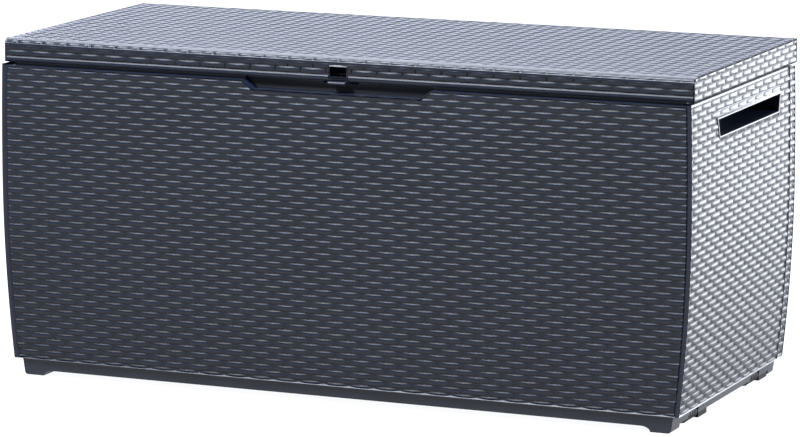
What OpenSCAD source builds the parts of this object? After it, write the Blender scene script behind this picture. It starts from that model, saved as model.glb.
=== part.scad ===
// Deck storage box with a woven-look resin body, hinged lid and two rollers.
// +X is the roller end, -Y the front, +Z up. The origin is on the floor, under the
// middle of the outer box.

/* [Overall] */
// Width of the body at its top edge
body_w = 1230; // [900:5:1600]
// Depth of the body, front face to back face
body_d = 526; // [430:2:700]
// Height from the floor to the top of the lid
box_h = 576; // [460:2:760]

/* [Walls] */
// Thickness of the resin walls
wall_t = 3; // [2.5:0.5:5]
// Height of the walls' lower edge above the floor
wall_z = 29; // [24:1:45]
// How far an end wall bulges out at its widest
end_belly = 2.8; // [0:0.2:8]
// How far an end wall is tucked in at its lower edge
end_tuck = 14.9; // [4:0.1:24]
// Distance from the walls' top edge down to the widest place of an end wall
belly_drop = 186; // [120:2:260]
// Width of the smooth corner strip that an end wall shows at the front
edge_t = 7; // [5.5:0.5:12]
// How far the back wall wraps round each rear corner
wrap_d = 28; // [20:1:50]
// Height of the rail along the top of each wall
rail_h = 20; // [14:1:30]
// Depth of the rail of the front wall, back from its outer face
front_rail_d = 20; // [18:1:30]
// Depth of the rail of an end wall, in from its outer face
end_rail_d = 18; // [14:1:26]
// Height of the rain lip above the walls' top edge
lip_h = 9; // [5:0.5:12]
// Width of the flange along the foot of each wall
foot_flange = 40; // [34:1:60]

/* [Finger recess] */
// Width of the recess at the top edge of the front wall
recess_w = 338; // [200:2:420]
// How much narrower the recess is at its floor, both ends together
recess_taper = 38; // [0:2:60]
// Depth of the recess below the top edge of the front wall
recess_h = 14; // [10:1:18]
// How far the recess reaches back
recess_d = 26; // [20:1:40]

/* [End handles] */
// Width of a handle opening at its top edge
grip_w = 316; // [160:2:330]
// How much narrower a handle opening is at its lower edge
grip_taper = 16; // [0:1:40]
// Height of a handle opening
grip_h = 29; // [24:1:45]
// Distance from the walls' top edge down to a handle opening
grip_drop = 37; // [30:1:80]
// How far a handle opening lies behind the middle of the wall
grip_back = 24; // [0:1:30]
// Depth of the hand pocket, in from the outer face
grip_d = 72; // [50:1:100]

/* [Base] */
// How far the base stands back from the front wall's face
base_in_front = 7.5; // [2:0.5:20]
// How far the base stands back from the back wall's face
base_in_back = 1.5; // [0:0.5:20]
// How far the foot of the base stands in from an end wall's lower edge
base_in_end = 15.6; // [8:0.2:30]
// Gap under the skirt between the feet
skirt_z = 9; // [5:0.5:14]
// Length of a foot along the front, from its outer side to where it curves up
foot_w = 36; // [24:1:60]
// Radius of a foot's outer lower corner
foot_round = 6; // [2:0.5:10]
// How much further out the ends of the base stand at their top than at their foot
base_draft = 3.5; // [0:0.5:8]
// Length of a front foot along the end
front_foot_d = 40; // [25:1:60]
// Length of a rear foot along the end
rear_foot_d = 28; // [20:1:40]

/* [Rollers] */
// Diameter of a roller
roller_dia = 24; // [18:0.5:24]
// Length of a roller
roller_l = 47; // [30:1:60]
// Distance from the base's front or back edge to the middle of a roller
roller_in = 103.5; // [96:0.5:140]
// Diameter of an axle
axle_dia = 5; // [4:0.5:8]
// Length of the skid pad beside a roller
pad_l = 42; // [20:1:44]

/* [Lid] */
// How far the lid hangs over each end of the body
lid_over = 1; // [0.5:0.5:4]
// Height of the lid's skirt, top face to lower edge
lid_h = 40; // [36:1:60]
// Gap between the lid's skirt and the walls
lid_gap = 5; // [3:0.5:8]
// Gap between an end wall and the lid above it (mm)
end_gap = 1.5; // [1:0.5:8]
// How far the lid's front stands behind the front wall
lid_in_front = 12; // [6:1:16]
// How far the lid hangs over the back wall
lid_over_back = 6; // [4:1:10]
// Thickness of the lid's skirt
skirt_t = 3; // [2.5:0.5:4]
// Thickness of the lid's top
lid_top_t = 3; // [2.5:0.5:5]
// Radius of the lid's front nose
nose_r = 11; // [3:0.5:14]
// Distance from the lid's top face down to the liner's upper face
liner_drop = 16; // [14:1:20]
// Thickness of the liner
liner_t = 2.5; // [2:0.5:4]
// Number of screw columns along the lid
lid_screw_cols = 5; // [3:2:9]

/* [Hinge] */
// Number of hinges
hinges = 3; // [2:1:5]
// Distance from the outermost hinges to the lid's ends
hinge_in = 186; // [120:2:260]
// Height of the hinge axis above the lid's lower edge
hinge_up = 12; // [12:0.5:15]
// Distance from the hinge axis forward of the lid's back face
hinge_back = 11; // [11:0.5:12]
// Outer radius of a knuckle
knuckle_r = 7.5; // [6.5:0.1:7.5]
// Width of the lid's knuckle
knuckle_w = 24; // [16:1:40]
// Width of each of the two lugs beside it
lug_w = 12; // [8:1:20]
// Diameter of a hinge pin
hinge_pin_dia = 6; // [5:0.5:7]
// Angle of the open lid, where it meets its stop
lid_open = 100; // [92:1:110]

/* [Lock] */
// Width of the window in the lid's front
window_w = 30; // [24:1:50]
// Height of the window
window_h = 17; // [14:0.5:17]
// Height of the window's sill above the lid's lower edge
window_up = 7; // [6.5:0.5:7.5]
// Depth of the window's pocket, back from the lid's front
window_d = 19; // [17:1:28]
// Diameter of the padlock hole
lock_hole = 9; // [6:0.5:10]
// Thickness of the lock tab
tab_t = 4; // [3:0.1:4]

/* [Screws] */
// Diameter of the screws
screw_dia = 3.6; // [3:0.1:4.5]
// Diameter of a screw head
head_dia = 8; // [6:0.5:9]
// Height of a screw head
head_h = 2.5; // [1.5:0.1:3]
// Number of screws in each corner
corner_screws_n = 3; // [2:1:5]
// Number of base screws along each long side
base_screws_n = 4; // [2:1:8]

/* [Fits] */
// Gap between neighbouring mouldings
gap = 0.3; // [0.2:0.05:0.5]
// Radial clearance of a turning part on its pin
running = 0.08; // [0.03:0.01:0.1]
// Radial clearance of a screw or pin held in a moulding
held = 0.04; // [0.01:0.01:0.1]

/* [Hidden] */
$fn = 48;
eps = 0.05;

graphite = [0.20, 0.21, 0.25];
graphite_dark = [0.13, 0.14, 0.17];
black_resin = [0.05, 0.05, 0.06];
steel = [0.70, 0.71, 0.73];

// Heights
lid_z = box_h - lid_h;
wall_top = lid_z - lid_gap;
end_top = max(wall_top + eps, lid_z - end_gap);
belly_z = wall_top - belly_drop;
rail_z = wall_top - rail_h;
lip_z = wall_top + lip_h;

// The outer box is centred on the origin: the walls' face is in front, the lid's behind
outer_d = body_d + lid_over_back;
body_y0 = -outer_d / 2;
body_y1 = body_y0 + body_d;
lid_y0 = body_y0 + lid_in_front;
lid_y1 = outer_d / 2;
lid_x = body_w / 2 + lid_over;
seam_y = body_y1 - wrap_d;

// Distance of an end wall's outer face from the middle plane, at height z
wall_steps = 24;
function end_x(z) =
    z > belly_z
    ? body_w / 2 + end_belly * (1 - pow((z - belly_z) / (wall_top - belly_z), 2))
    : body_w / 2 + end_belly
        - (end_belly + end_tuck) * pow((belly_z - z) / (belly_z - wall_z), 2);
function steps(z0, z1) = [for (i = [0:wall_steps]) z0 + (z1 - z0) * i / wall_steps];

// Base
base_x = end_x(wall_z) - base_in_end;
base_y0 = body_y0 + base_in_front;
base_y1 = body_y1 - base_in_back;
base_top = wall_z - gap;
base_t = 3;
base_under = base_top - base_t;
skirt_wall = 4;
foot_curve = 17;
foot_rim = 3;
rib_t = 3;
rib_z = 12;
rib_cols = 8;
rib_rows = 4;

// Rollers
roller_x = base_x - roller_dia / 2;
roller_y = [base_y0 + roller_in, base_y1 - roller_in];
cheek_t = 4;
side_gap = 0.5;
cheek_y = roller_l / 2 + side_gap;
cheek_x = base_x - skirt_wall - gap;
bracket_back = roller_x - roller_dia / 2 - 1;
bracket_wall = 3;
bracket_top = base_under - gap;
bracket_plate = 34;
bracket_screw_y = 16;
pad_y = cheek_y + cheek_t;
pad_w = 24;

// Wall joints
boss_h = 5;
boss_d = 9;
flange_t = 3;
flange_w = 40;
flange_z0 = wall_z + 14;
corner_inset = 26;
lap_d = 12;
corner_z = [for (i = [0:corner_screws_n - 1])
    flange_z0 + 30 + (rail_z - flange_z0 - 60) * i / (corner_screws_n - 1)];
wall_rib_t = 2.5;
wall_rib_d = 8;
wall_ribs = 8;

// Screws
screw_hole = screw_dia / 2 + 0.4;
screw_pilot = screw_dia / 2 + held;
corner_screw_l = flange_t + gap + boss_h + wall_t / 2;
base_boss_h = 6;
base_screw_in = 30;
base_screw_l = base_t + gap + flange_t + base_boss_h - 1;

// Rails, lip and recess
lip_t = 3;
recess_wall = 3;
recess_z = wall_top - recess_h;
recess_y = body_y0 + recess_d;
front_lip_y = body_y0 + front_rail_d;
lip_x = end_x(wall_top) - end_rail_d;
back_rail_d = 12;

// Handle pocket
grip_y = (body_y0 + body_y1) / 2 + grip_back;
grip_z1 = wall_top - grip_drop;
grip_z0 = grip_z1 - grip_h;
cup_wall = 3;
cup_up = 14;

// Lid
liner_z = box_h - liner_drop - liner_t;
liner_top = box_h - liner_drop;
liner_rib_t = 2.5;
lid_boss_d = 9;
lid_cols = (lid_screw_cols - 1) / 2;
lid_screw_pitch = (lid_x - 56) / lid_cols;
lid_screw_y = [lid_y0 + 39, lid_y1 - 41];
lid_screw_l = liner_t + 0.4 + 8;

// Hinge
hinge_y = lid_y1 - hinge_back;
hinge_z = lid_z + hinge_up;
hinge_x = [for (i = [0:hinges - 1])
    -(lid_x - hinge_in) + 2 * (lid_x - hinge_in) * i / (hinges - 1)];
lug_in = knuckle_w / 2 + side_gap;
lug_out = lug_in + lug_w;
stem = 5;
pin_head_h = 2;
pin_head_r = hinge_pin_dia / 2 + 1.6;
notch_x = lug_out + pin_head_h + 2;
notch_top = hinge_z
    + (stem + gap - hinge_back * cos(lid_open)) / sin(lid_open);

// Lock
window_z = lid_z + window_up;
insert_wall = 2.5;
insert_y1 = lid_y0 + window_d + insert_wall;
insert_y0 = lid_y0 + skirt_t + gap;
lock_y = recess_y - 5;
insert_ear = 12;
insert_z0 = window_z - insert_wall;
insert_z1 = window_z + window_h + insert_wall;
insert_screw_x = window_w / 2 + insert_wall + insert_ear / 2;
insert_screw_y = (insert_y0 + insert_y1) / 2;
insert_screw_l = insert_wall + gap + 5;
tab_y0 = body_y0 + 4.5;
tab_y1 = recess_y + recess_wall + gap + 3;
tab_z = lid_z - tab_t - 0.5;
tab_skirt = 20;
tab_screw_x = 8;
tab_screw_z = recess_z + 3;
tab_screw_l = 3 + gap + recess_wall - 0.6;

// A box given by its lowest and highest corners
module block(a, b) {
    translate(a) cube(b - a);
}

// A slab that follows an end wall, between two depths below its outer face
module end_slab(d0, d1, y0, y1, z0, z1) {
    zs = steps(z0, z1);
    outer = [for (z = zs) [end_x(z) - d0, z]];
    inner = [for (i = [wall_steps:-1:0]) [end_x(zs[i]) - d1, zs[i]]];
    translate([0, y1, 0]) rotate([90, 0, 0])
        linear_extrude(y1 - y0) polygon(concat(outer, inner));
}

// A plate across the box whose ends follow the end walls, a depth below their faces
module cross_plate(d, y0, y1, z0, z1) {
    zs = steps(z0, z1);
    right = [for (z = zs) [end_x(z) - d, z]];
    left = [for (i = [wall_steps:-1:0]) [d - end_x(zs[i]), zs[i]]];
    translate([0, y1, 0]) rotate([90, 0, 0])
        linear_extrude(y1 - y0) polygon(concat(right, left));
}

module both_ends() {
    children();
    mirror([1, 0, 0]) children();
}

// A pan-head screw with its head's underside at the origin and its shank up +Z
module screw(l) {
    difference() {
        union() {
            cylinder(r = screw_dia / 2, h = l);
            translate([0, 0, -head_h]) cylinder(r = head_dia / 2, h = head_h);
        }
        for (a = [0, 90])
            rotate([0, 0, a]) translate([-head_dia * 0.3, -0.5, -head_h - eps])
                cube([head_dia * 0.6, 1, 1.2 + eps]);
    }
}

// ---- Base ----

// Distance of the base's end face from the middle plane, at height z
function side_x(z) = base_x + base_draft * (z - foot_round) / (base_top - foot_round);

// One foot outline, with its curved inner end, standing in the XZ plane
module foot_outline() {
    corner = [for (a = [0:15:90])
        [base_x - foot_round * (1 - cos(a)), foot_round * (1 - sin(a))]];
    curve = [for (a = [0:15:90])
        [base_x - foot_w - foot_curve * (1 - cos(a)), skirt_z * sin(a)]];
    polygon(concat(corner, curve, [[base_x - foot_w - foot_curve, base_under + eps],
        [side_x(base_under + eps), base_under + eps]]));
}

module foot(y0, y1) {
    translate([0, y1, 0]) rotate([90, 0, 0])
        linear_extrude(y1 - y0) foot_outline();
}

// The hollow inside a foot, open below
module foot_hollow(y0, y1) {
    block([base_x - foot_w + skirt_wall, y0 + skirt_wall, -1],
        [base_x - foot_round - foot_rim, y1 - skirt_wall, base_under - 3]);
}

// The plate with the skirt round it
module base_plate() {
    difference() {
        translate([0, base_y1, 0]) rotate([90, 0, 0]) linear_extrude(base_y1 - base_y0)
            polygon([[-side_x(skirt_z), skirt_z], [side_x(skirt_z), skirt_z],
                [side_x(base_top), base_top], [-side_x(base_top), base_top]]);
        block([-base_x + skirt_wall, base_y0 + skirt_wall, 0],
            [base_x - skirt_wall, base_y1 - skirt_wall, base_under]);
    }
}

module base_ribs() {
    x0 = -base_x + skirt_wall - eps;
    x1 = bracket_back - bracket_plate - 6;
    for (i = [1:rib_rows - 1]) {
        y = base_y0 + (base_y1 - base_y0) * i / rib_rows;
        block([x0, y - rib_t / 2, rib_z], [x1, y + rib_t / 2, base_under + eps]);
    }
    for (i = [0:rib_cols - 1]) {
        x = x1 - rib_t - (x1 - x0 - 80) * i / (rib_cols - 1);
        block([x, base_y0 + skirt_wall - eps, rib_z],
            [x + rib_t, base_y1 - skirt_wall + eps, base_under + eps]);
    }
}

// Where the base screws stand: [x, y]
base_screw_x = [for (i = [0:base_screws_n - 1])
    -(base_x - 90) + 2 * (base_x - 90) * i / (base_screws_n - 1)];
base_screw_places = concat(
    [for (x = base_screw_x) [x, body_y0 + base_screw_in]],
    [for (x = base_screw_x) [x, body_y1 - base_screw_in]],
    [for (sx = [-1, 1], y = [-70, 70])
        [sx * (end_x(wall_z) - base_screw_in), (base_y0 + base_y1) / 2 + y]]);

bracket_screw_places = [for (y = roller_y, s = [-1, 1])
    [bracket_back - bracket_plate + 10, y + s * bracket_screw_y]];
bracket_screw_l = bracket_wall + gap + base_t - 0.8;

module base_tray() color(graphite_dark) difference() {
    union() {
        base_plate();
        base_ribs();
        both_ends() {
            foot(base_y0, base_y0 + front_foot_d);
            foot(base_y1 - rear_foot_d, base_y1);
        }
    }
    both_ends() {
        foot_hollow(base_y0, base_y0 + front_foot_d);
        foot_hollow(base_y1 - rear_foot_d, base_y1);
    }
    for (y = roller_y) {
        block([cheek_x - eps, y - cheek_y, -1],
            [base_x + base_draft + 1, y + cheek_y, base_under]);
    }
    for (p = base_screw_places) translate([p.x, p.y, 0]) {
        translate([0, 0, base_under - 1]) cylinder(r = screw_hole, h = base_t + 2);
        cylinder(r = head_dia / 2 + 1, h = base_under);
    }
    for (p = bracket_screw_places) translate([p.x, p.y, base_under - eps])
        cylinder(r = screw_pilot, h = base_t - 0.5);
}

// ---- Walls ----

// Upright stiffening ribs on a long wall's inner face
module long_ribs(y0, y1) {
    half = end_x(wall_z) - 90;
    for (i = [0:wall_ribs]) {
        x = -half + 2 * half * i / wall_ribs;
        block([x - wall_rib_t / 2, y0, wall_z + 1], [x + wall_rib_t / 2, y1, rail_z + 2]);
    }
}

// Bosses on a wall's foot flange for the screws that come up through the base
module base_bosses(side) {
    for (p = base_screw_places)
        if (side == 0 ? p.y < base_y0 + 60 && abs(p.x) < base_x - 60
            : side == 1 ? p.y > base_y1 - 60 && abs(p.x) < base_x - 60
            : p.x > base_x - 60)
            translate([p.x, p.y, wall_z])
                cylinder(r = boss_d / 2, h = flange_t + base_boss_h);
}

module base_pilots() {
    for (p = base_screw_places) translate([p.x, p.y, wall_z - 1])
        cylinder(r = screw_pilot, h = flange_t + base_boss_h);
}

// Bosses in a wall's corners, standing back from its inner face along dir
module corner_bosses(y, dir) {
    for (z = corner_z) both_ends()
        translate([end_x(z) - corner_inset, y, z]) rotate([-90 * dir, 0, 0])
            translate([0, 0, -eps]) cylinder(r = boss_d / 2, h = boss_h + eps);
}

module corner_pilots(y, dir) {
    for (z = corner_z) both_ends()
        translate([end_x(z) - corner_inset, y + dir * (boss_h + eps), z])
            rotate([90 * dir, 0, 0]) cylinder(r = screw_pilot, h = boss_h + wall_t * 0.7);
}

module recess_outline(grow, z0, z1) {
    bottom = (recess_w - recess_taper) / 2 + grow;
    top = recess_w / 2 + grow;
    polygon([[-bottom, z0], [bottom, z0], [top, z1], [-top, z1]]);
}

module recess_prism(grow, y0, y1, z0, z1) {
    translate([0, y1, 0]) rotate([90, 0, 0])
        linear_extrude(y1 - y0) recess_outline(grow, z0, z1);
}

module front_panel() color(graphite) difference() {
    in = edge_t + gap;
    union() {
        cross_plate(in, body_y0, body_y0 + wall_t, wall_z, wall_top);
        difference() {
            cross_plate(in, body_y0, front_lip_y, rail_z, wall_top);
            cross_plate(in + wall_t, body_y0 + wall_t, front_lip_y - wall_t,
                rail_z - 1, wall_top - wall_t);
        }
        block([-lip_x + gap, front_lip_y - lip_t, wall_top - eps],
            [lip_x - gap, front_lip_y, lip_z]);
        recess_prism(recess_wall, body_y0, recess_y + recess_wall,
            recess_z - recess_wall, wall_top);
        block([-recess_w / 2 - recess_wall, recess_y, wall_top - eps],
            [recess_w / 2 + recess_wall, recess_y + recess_wall, lip_z]);
        for (s = [-1, 1])
            translate([s * (recess_w / 2 + recess_wall / 2), 0, 0])
                block([-recess_wall / 2, front_lip_y - lip_t, wall_top - eps],
                    [recess_wall / 2, recess_y + recess_wall, lip_z]);
        cross_plate(in, body_y0, body_y0 + foot_flange, wall_z, wall_z + flange_t);
        long_ribs(body_y0 + wall_t - eps, body_y0 + wall_t + wall_rib_d);
        corner_bosses(body_y0 + wall_t, 1);
        base_bosses(0);
    }
    recess_prism(0, body_y0 - 1, recess_y, recess_z, wall_top + eps);
    // The lip is open above the recess, and behind it where the lock stands
    block([-recess_w / 2, front_lip_y - lip_t - eps, wall_top],
        [recess_w / 2, recess_y, lip_z + 1]);
    block([-window_w / 2 - insert_wall - insert_ear - 2, recess_y - eps, wall_top],
        [window_w / 2 + insert_wall + insert_ear + 2, recess_y + recess_wall + 1, lip_z + 1]);
    corner_pilots(body_y0 + wall_t, 1);
    base_pilots();
    for (s = [-1, 1]) translate([s * tab_screw_x, recess_y + recess_wall + eps, tab_screw_z])
        rotate([90, 0, 0]) cylinder(r = screw_pilot, h = recess_wall - 0.5);
}

// One lug of a hinge: a round eye on a stem that stands on the back wall
module lug(x0) {
    translate([x0, hinge_y, hinge_z]) rotate([0, 90, 0]) cylinder(r = knuckle_r, h = lug_w);
    block([x0, hinge_y - stem, rail_z], [x0 + lug_w, hinge_y + stem, hinge_z]);
}

module back_panel() color(graphite) difference() {
    union() {
        cross_plate(0, body_y1 - wall_t, body_y1, wall_z, wall_top);
        both_ends()
            end_slab(0, wall_t, seam_y + gap, body_y1 - wall_t + eps, wall_z, wall_top);
        cross_plate(wall_t + flange_w + 10, body_y1 - back_rail_d, body_y1 - wall_t + eps,
            rail_z, wall_top);
        cross_plate(edge_t + 2, body_y1 - foot_flange, body_y1 - wall_t + eps,
            wall_z, wall_z + flange_t);
        long_ribs(body_y1 - wall_t - wall_rib_d, body_y1 - wall_t + eps);
        corner_bosses(body_y1 - wall_t, -1);
        base_bosses(1);
        for (x = hinge_x) {
            lug(x + lug_in);
            lug(x - lug_out);
        }
    }
    corner_pilots(body_y1 - wall_t, -1);
    base_pilots();
    for (x = hinge_x) translate([x - lug_out - 1, hinge_y, hinge_z]) rotate([0, 90, 0])
        cylinder(r = hinge_pin_dia / 2 + held, h = 2 * lug_out + 2);
}

module grip_opening(z0, z1, x0, x1) {
    top = grip_w / 2;
    bottom = (grip_w - grip_taper) / 2;
    translate([x0, grip_y, 0]) rotate([90, 0, 90]) linear_extrude(x1 - x0)
        polygon([[-bottom, z0], [bottom, z0], [top, z1], [-top, z1]]);
}

module grip_cup(grow, x1) {
    block([end_x(grip_z0) - grip_d - grow, grip_y - grip_w / 2 - grow, grip_z0 - grow],
        [x1, grip_y + grip_w / 2 + grow, grip_z1 + cup_up + grow]);
}

module end_panel() {
    front_flange_y = body_y0 + wall_t + boss_h + gap;
    back_flange_y = body_y1 - wall_t - boss_h - gap;
    lap = wall_t + gap;
    difference() {
        union() {
            end_slab(0, wall_t, body_y0, seam_y, wall_z, wall_top);
            end_slab(0, edge_t, body_y0, front_lip_y, wall_z, wall_top);
            // Raised edge that closes the gap under the lid's skirt
            block([end_x(wall_top) - wall_t, body_y0, wall_top - eps],
                [end_x(wall_top), seam_y, end_top]);
            // Flange behind the front wall
            end_slab(wall_t - eps, flange_w, front_flange_y, front_flange_y + flange_t,
                flange_z0, rail_z - 2);
            // Lap and flange inside the back wall's return
            end_slab(wall_t - eps, lap + flange_t, seam_y - lap_d, seam_y, flange_z0, rail_z - 2);
            end_slab(lap, lap + flange_t, seam_y - eps, back_flange_y, flange_z0, rail_z - 2);
            end_slab(lap, flange_w, back_flange_y - flange_t, back_flange_y,
                flange_z0, rail_z - 2);
            // Rail, lip and foot flange
            difference() {
                end_slab(wall_t - eps, end_rail_d, front_lip_y + gap, seam_y - lap_d,
                    rail_z, wall_top);
                end_slab(wall_t, end_rail_d - wall_t, front_lip_y + gap + wall_t,
                    seam_y - lap_d - wall_t, rail_z - 1, wall_top - wall_t);
            }
            block([lip_x, front_lip_y + gap, wall_top - eps],
                [lip_x + lip_t, seam_y - lap_d, lip_z]);
            end_slab(wall_t - eps, foot_flange, body_y0 + foot_flange + gap,
                body_y1 - foot_flange - gap, wall_z, wall_z + flange_t);
            grip_cup(cup_wall, end_x(grip_z0) - wall_t + eps);
            base_bosses(2);
        }
        grip_cup(0, end_x(grip_z0) - wall_t);
        grip_opening(grip_z0, grip_z1, end_x(grip_z0) - wall_t - 2, end_x(belly_z) + 2);
        base_pilots();
        for (z = corner_z)
            translate([end_x(z) - corner_inset, body_y0, z]) rotate([-90, 0, 0])
                cylinder(r = screw_hole, h = body_d);
    }
}

module end_panel_right() color(graphite) end_panel();
module end_panel_left() color(graphite) mirror([1, 0, 0]) end_panel();

// ---- Lid ----

// The lid from the side, a depth inside its faces: a box with a rounded front nose
module lid_side(side, top, z0) {
    r = max(nose_r - side, 0.5);
    y = lid_y0 + side;
    z = box_h - top;
    nose = [for (a = [0:15:90]) [y + r * (1 - sin(a)), z - r * (1 - cos(a))]];
    polygon(concat([[lid_y1 - side, z0], [lid_y1 - side, z]], nose, [[y, z0]]));
}

module lid_solid(side, top, z0) {
    translate([side - lid_x, 0, 0]) rotate([90, 0, 90])
        linear_extrude(2 * (lid_x - side)) lid_side(side, top, z0);
}

lid_screw_places = [for (i = [-lid_cols:lid_cols], y = lid_screw_y) [i * lid_screw_pitch, y]];
insert_screw_places = [for (s = [-1, 1]) [s * insert_screw_x, insert_screw_y]];

module lid_shell() color(graphite) difference() {
    union() {
        difference() {
            lid_solid(0, 0, lid_z);
            lid_solid(skirt_t, lid_top_t, lid_z - 1);
        }
        for (p = lid_screw_places)
            if (abs(p.x) > 1 || p.y > 0)
                translate([p.x, p.y, liner_top + 0.4])
                    cylinder(r = lid_boss_d / 2, h = liner_drop - lid_top_t);
        for (p = insert_screw_places) translate([p.x, p.y, insert_z1 + gap])
            cylinder(r = boss_d / 2, h = box_h - lid_top_t - insert_z1);
    }
    // Window of the lock, and notches for the hinge lugs
    block([-window_w / 2, lid_y0 - 1, window_z],
        [window_w / 2, lid_y0 + skirt_t + 1, window_z + window_h]);
    for (x = hinge_x)
        block([x - notch_x, lid_y1 - skirt_t - eps, lid_z - 1],
            [x + notch_x, lid_y1 + 1, notch_top]);
    for (p = lid_screw_places) translate([p.x, p.y, liner_top])
        cylinder(r = screw_pilot, h = liner_drop - lid_top_t);
    for (p = insert_screw_places) translate([p.x, p.y, insert_z1])
        cylinder(r = screw_pilot, h = box_h - insert_z1 - lid_top_t + 1);
}

module liner_ribs() {
    x = lid_x - skirt_t - 20;
    y0 = lid_y0 + skirt_t + 60;
    y1 = lid_y1 - skirt_t - 55;
    z = [liner_top - eps, box_h - lid_top_t - gap];
    for (i = [0:4]) {
        y = y0 + (y1 - y0) * i / 4;
        block([-x, y - liner_rib_t / 2, z[0]], [x, y + liner_rib_t / 2, z[1]]);
    }
    for (i = [-lid_cols:lid_cols - 1], q = [0.25, 0.75]) {
        rx = (i + q) * lid_screw_pitch;
        block([rx - liner_rib_t / 2, y0, z[0]], [rx + liner_rib_t / 2, y1, z[1]]);
    }
}

// Ribs under the liner that rest on the walls' rain lip
module seat_ribs() {
    z0 = lip_z + gap;
    for (s = [-1, 1]) {
        x = s * (lip_x + lip_t / 2);
        block([x - lip_t / 2, front_lip_y + gap, z0],
            [x + lip_t / 2, seam_y - lap_d, liner_z + eps]);
        block([s > 0 ? recess_w / 2 + 10 : -lip_x, front_lip_y - lip_t, z0],
            [s > 0 ? lip_x : -recess_w / 2 - 10, front_lip_y, liner_z + eps]);
    }
}

module lid_liner() color(graphite_dark) difference() {
    in = skirt_t + gap;
    union() {
        block([-lid_x + in, lid_y0 + in, liner_z], [lid_x - in, lid_y1 - in, liner_top]);
        liner_ribs();
        seat_ribs();
        for (x = hinge_x) {
            translate([x - knuckle_w / 2, hinge_y, hinge_z]) rotate([0, 90, 0])
                cylinder(r = knuckle_r, h = knuckle_w);
            block([x - knuckle_w / 2, hinge_y - stem, hinge_z],
                [x + knuckle_w / 2, hinge_y + stem, liner_z + eps]);
        }
    }
    block([-insert_screw_x - insert_ear / 2 - 1, lid_y0, lid_z],
        [insert_screw_x + insert_ear / 2 + 1, insert_y1 + 1, box_h]);
    for (x = hinge_x) translate([x - knuckle_w / 2 - 1, hinge_y, hinge_z])
        rotate([0, 90, 0]) cylinder(r = hinge_pin_dia / 2 + running, h = knuckle_w + 2);
    for (p = lid_screw_places) if (abs(p.x) > 1 || p.y > 0)
        translate([p.x, p.y, liner_z - 1]) cylinder(r = screw_hole, h = liner_t + 2);
}

// Cup behind the window: the sill carries the padlock hole
module lock_insert() color(graphite_dark) difference() {
    union() {
        block([-window_w / 2 - insert_wall, insert_y0, insert_z0],
            [window_w / 2 + insert_wall, insert_y1, insert_z1]);
        block([-insert_screw_x - insert_ear / 2, insert_y0, insert_z1 - insert_wall],
            [insert_screw_x + insert_ear / 2, insert_y1, insert_z1]);
    }
    block([-window_w / 2, insert_y0 - 1, window_z],
        [window_w / 2, insert_y1 - insert_wall, window_z + window_h]);
    translate([0, lock_y, insert_z0 - 1]) cylinder(r = lock_hole / 2, h = insert_wall + 2);
    for (p = insert_screw_places) translate([p.x, p.y, insert_z1 - insert_wall - 1])
        cylinder(r = screw_hole, h = insert_wall + 2);
}

// Saddle on the recess's rear wall: the tab's hole lies under the sill's hole
module lock_tab() color(graphite_dark) difference() {
    union() {
        block([-window_w / 2, tab_y0 + tab_t / 2, tab_z], [window_w / 2, tab_y1, tab_z + tab_t]);
        translate([-window_w / 2, tab_y0 + tab_t / 2, tab_z + tab_t / 2]) rotate([0, 90, 0])
            cylinder(r = tab_t / 2, h = window_w);
        block([-window_w / 2, tab_y1 - 3, tab_z - tab_skirt], [window_w / 2, tab_y1, tab_z + eps]);
    }
    translate([0, lock_y, tab_z - 1]) cylinder(r = lock_hole / 2, h = tab_t + 2);
    for (s = [-1, 1]) translate([s * tab_screw_x, tab_y1 + 1, tab_screw_z])
        rotate([90, 0, 0]) cylinder(r = screw_hole, h = 5);
}

// ---- Hinge pins ----

module hinge_pin(i) color(black_resin)
    translate([hinge_x[i] - lug_out - 0.5, hinge_y, hinge_z]) rotate([0, 90, 0]) {
        cylinder(r = hinge_pin_dia / 2, h = 2 * lug_out + 0.5 + side_gap);
        translate([0, 0, 2 * lug_out + 0.5 + 0.2]) cylinder(r = pin_head_r, h = pin_head_h);
    }

module hinge_pin_left() hinge_pin(0);
module hinge_pin_middle() { for (i = [1:hinges - 2]) hinge_pin(i); }
module hinge_pin_right() hinge_pin(hinges - 1);

// ---- Rollers ----

module roller(i) color(black_resin)
    translate([roller_x, roller_y[i] - roller_l / 2, roller_dia / 2]) rotate([-90, 0, 0])
        difference() {
            cylinder(r = roller_dia / 2, h = roller_l);
            translate([0, 0, -1]) cylinder(r = axle_dia / 2 + running, h = roller_l + 2);
            for (q = [0.25, 0.5, 0.75]) translate([0, 0, q * roller_l - 0.75])
                difference() {
                    cylinder(r = roller_dia / 2 + 1, h = 1.5);
                    translate([0, 0, -1]) cylinder(r = roller_dia / 2 - 0.8, h = 4);
                }
        }

module axle(i) color(steel)
    translate([roller_x, roller_y[i] - cheek_y - cheek_t, roller_dia / 2])
        rotate([-90, 0, 0]) cylinder(r = axle_dia / 2, h = 2 * (cheek_y + cheek_t));

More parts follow.
